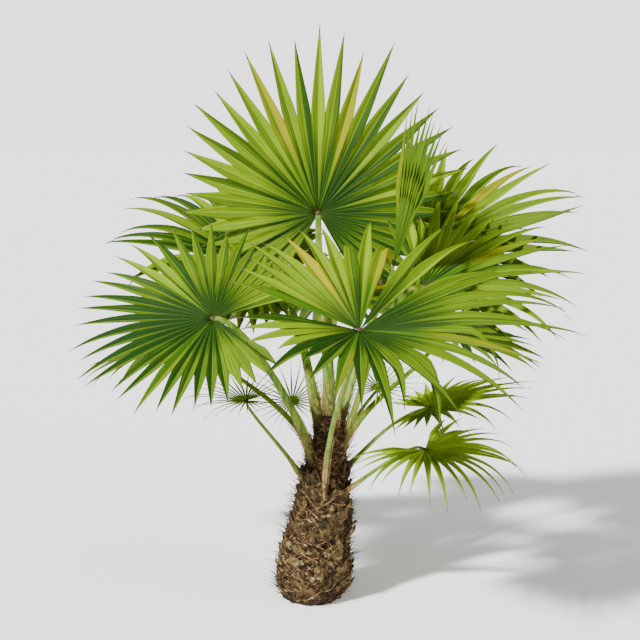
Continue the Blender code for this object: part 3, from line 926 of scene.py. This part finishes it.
# the stalk's line from inside the trunk to the hub's back or its rim, then to its middle
def petiolePath(frond):
    look = petioleLook
    lead, _, face = bladeFrame(frond)
    out = heading(frond.turn, 0)
    foot = trunkCentre(frond.foot) + out * (trunkRadius(frond.foot) - look["sink"])
    heel = max(math.radians(frond.span) / 2, look["heelLeast"])
    if (Vector(frond.hub) - foot).normalized().dot(face) > look["uprightBlade"]:
        into, back = face, look["hubThickness"] * frond.scale / 2
    else:
        into, back = lead, -growth["hubRadius"] * frond.scale * math.cos(heel)
    end = Vector(frond.hub) - into * (back + look["clearance"])
    length = (end - foot).length
    first = foot + heading(frond.turn, frond.rise) * length * look["bow"]
    last = end - into * length * frond.arrive
    points = []
    for k in range(look["steps"] + 1):
        t = k / look["steps"]
        points.append(
            foot * (1 - t) ** 3 + first * 3 * t * (1 - t) ** 2 + last * 3 * t * t * (1 - t) + end * t**3
        )
    points.append(Vector(frond.hub))
    return points


# a size at share t, from its values at the foot, the middle and the hub
def threeWay(values, t):
    first, middle, last = values
    return first + (middle - first) * 2 * t if t < 0.5 else middle + (last - middle) * (2 * t - 1)


# (point, across, up) at each step of a stalk, turned from the hub down so that it meets the blade's side
def stalkRings(frond):
    points = petiolePath(frond)
    last = len(points) - 1
    _, across, _ = bladeFrame(frond)
    rings = []
    for k in range(last, -1, -1):
        along = (points[min(k + 1, last)] - points[max(k - 1, 0)]).normalized()
        across = (across - along * across.dot(along)).normalized()
        rings.append((points[k], across.copy(), across.cross(along)))
    rings.reverse()
    return rings


# half the width and half the depth of a stalk at share v of its length
def stalkHalves(frond, v):
    wide = threeWay(petioleLook["widths"], v) * frond.scale / 2
    deep = threeWay(petioleLook["depths"], v) * frond.scale / 2
    return wide, deep


# the small knob where the ribs of a blade meet
def addHub(bm, frond):
    around, rows = petioleLook["hubSegments"]
    made = bmesh.ops.create_uvsphere(bm, u_segments=around, v_segments=rows, radius=1.0)["verts"]
    lead, side, face = bladeFrame(frond)
    hub = growth["hubRadius"] * frond.scale
    long, broad, tall = petioleLook["hubSize"]
    for vert in made:
        x, y, z = vert.co
        spot = Vector(frond.hub) + lead * x * hub * long
        vert.co = spot + side * y * hub * broad + face * z * hub * tall
        for polygon in vert.link_faces:
            polygon.smooth = True


# one stalk, flat above and round below, wider at its foot, with its hub
def makeStalk(frond, rings):
    look = petioleLook
    count = len(rings) - 1

    def place(u, v):
        point, over, up = rings[round(v * count)]
        angle = 2 * math.pi * (u % 1.0)
        swell = 1 + look["sheathSwell"] * max(0.0, 1 - v / look["sheathTo"]) ** 2
        wide, deep = stalkHalves(frond, v)
        flat = look["flatTop"] if math.sin(angle) > 0 else 1.0
        return point + over * (wide * swell) * math.cos(angle) + up * deep * math.sin(angle) * flat

    bm = bmesh.new()
    sheet(bm, look["sides"], count, place, closed=True)
    addHub(bm, frond)
    makePiece(f"stalk_{frond.name}", bm, finishes["stalkGreen"], (f"petiole_{frond.name}",))


# the fibres of the old sheath that cling to the foot of a stalk
def addSheath(verts, faces, frond, rings, draw):
    look = petioleLook
    count = len(rings) - 1
    steps = look["sheathPoints"] - 1
    tight, looser = look["sheathLoose"]
    for _ in range(look["sheathFibres"]):
        angle = draw.uniform(0, 2 * math.pi)
        begin = draw.uniform(0.0, look["sheathTo"] * look["sheathFrom"])
        length = draw.uniform(look["sheathLeast"], look["sheathTo"])
        strand = []
        for n in range(steps + 1):
            v = begin + length * n / steps
            point, over, up = rings[min(int(v * count), count)]
            loose = tight + looser * (n / steps) ** 2 * draw.random()
            swell = 1 + look["sheathSwell"] * (1 - v)
            wide, deep = stalkHalves(frond, v)
            turn = angle + look["sheathTurn"] * n / steps
            aside = over * (wide * loose * swell) * math.cos(turn)
            strand.append(point + aside + up * (deep * loose) * math.sin(turn))
        radius = look["sheathRadius"] * draw.uniform(*look["sheathRadiusSpread"])
        addStrand(verts, faces, strand, radius)


def makePetioles():
    draw = random.Random(petioleLook["sheathSeed"])
    verts, faces = [], []
    for frond in fronds:
        rings = stalkRings(frond)
        makeStalk(frond, rings)
        addSheath(verts, faces, frond, rings, draw)
    strandPiece("sheath_fibres", verts, faces, finishes["barkFibre"])


makePetioles()
print("petioles made")

studio = {
    "floorSize": 60,
    "floorColour": (0.97, 0.97, 0.97),
    "floorRoughness": 0.9,
    "cameraPlace": (0.03, -5.0, 1.77),
    "cameraDown": math.radians(9.2),
    "focalPixels": 1516,
    "framePixels": 640,
    "sensor": 36,
    "keyPlace": (-3.2, -3.0, 3.9),
    "keyAngle": math.radians(5),
    "keyPower": 8.2,
    "sky": 0.5,
    "seenSky": 2.28,  # the sky behind the plant, as bright as the floor
    "fillPlace": (4.6, -2.6, 2.0),
    "fillAngle": math.radians(40),
    "fillPower": 1.9,
}


def farLight(name, place, angle, power):
    light = bpy.data.lights.new(name, "SUN")
    light.angle = angle
    light.energy = power
    lamp = bpy.data.objects.new(name, light)
    lamp.location = place
    lamp.rotation_euler = (-Vector(place)).to_track_quat("-Z", "Y").to_euler()
    bpy.context.scene.collection.objects.link(lamp)


def makeFloor():
    bm = bmesh.new()
    bmesh.ops.create_grid(bm, x_segments=1, y_segments=1, size=studio["floorSize"] / 2)
    mesh = bpy.data.meshes.new("floor")
    bm.to_mesh(mesh)
    bm.free()
    floor = bpy.data.objects.new("floor", mesh)
    bpy.context.scene.collection.objects.link(floor)
    finish = bpy.data.materials.new("paleFloor")
    finish.use_nodes = True
    shader = finish.node_tree.nodes["Principled BSDF"]
    shader.inputs["Base Color"].default_value = (*studio["floorColour"], 1.0)
    shader.inputs["Roughness"].default_value = studio["floorRoughness"]
    shader.inputs["Specular IOR Level"].default_value = 0.0
    mesh.materials.append(finish)


def makeSky():
    world = bpy.data.worlds.new("softSky")
    world.use_nodes = True
    tree = world.node_tree
    sky = tree.nodes["Background"]
    sky.inputs["Color"].default_value = (1.0, 1.0, 1.0, 1.0)
    seen = tree.nodes.new("ShaderNodeLightPath").outputs["Is Camera Ray"]
    strength = plus(tree, times(tree, seen, studio["seenSky"] - studio["sky"]), studio["sky"])
    tree.links.new(strength, sky.inputs["Strength"])
    bpy.context.scene.world = world


def makeCamera():
    lens = bpy.data.cameras.new("camera")
    lens.sensor_width = studio["sensor"]
    lens.lens = studio["focalPixels"] / studio["framePixels"] * studio["sensor"]
    camera = bpy.data.objects.new("camera", lens)
    camera.location = studio["cameraPlace"]
    camera.rotation_euler = (math.pi / 2 - studio["cameraDown"], 0, 0)
    bpy.context.scene.collection.objects.link(camera)
    bpy.context.scene.camera = camera


makeFloor()
makeSky()
farLight("key", studio["keyPlace"], studio["keyAngle"], studio["keyPower"])
farLight("fill", studio["fillPlace"], studio["fillAngle"], studio["fillPower"])
makeCamera()
print("studio made")
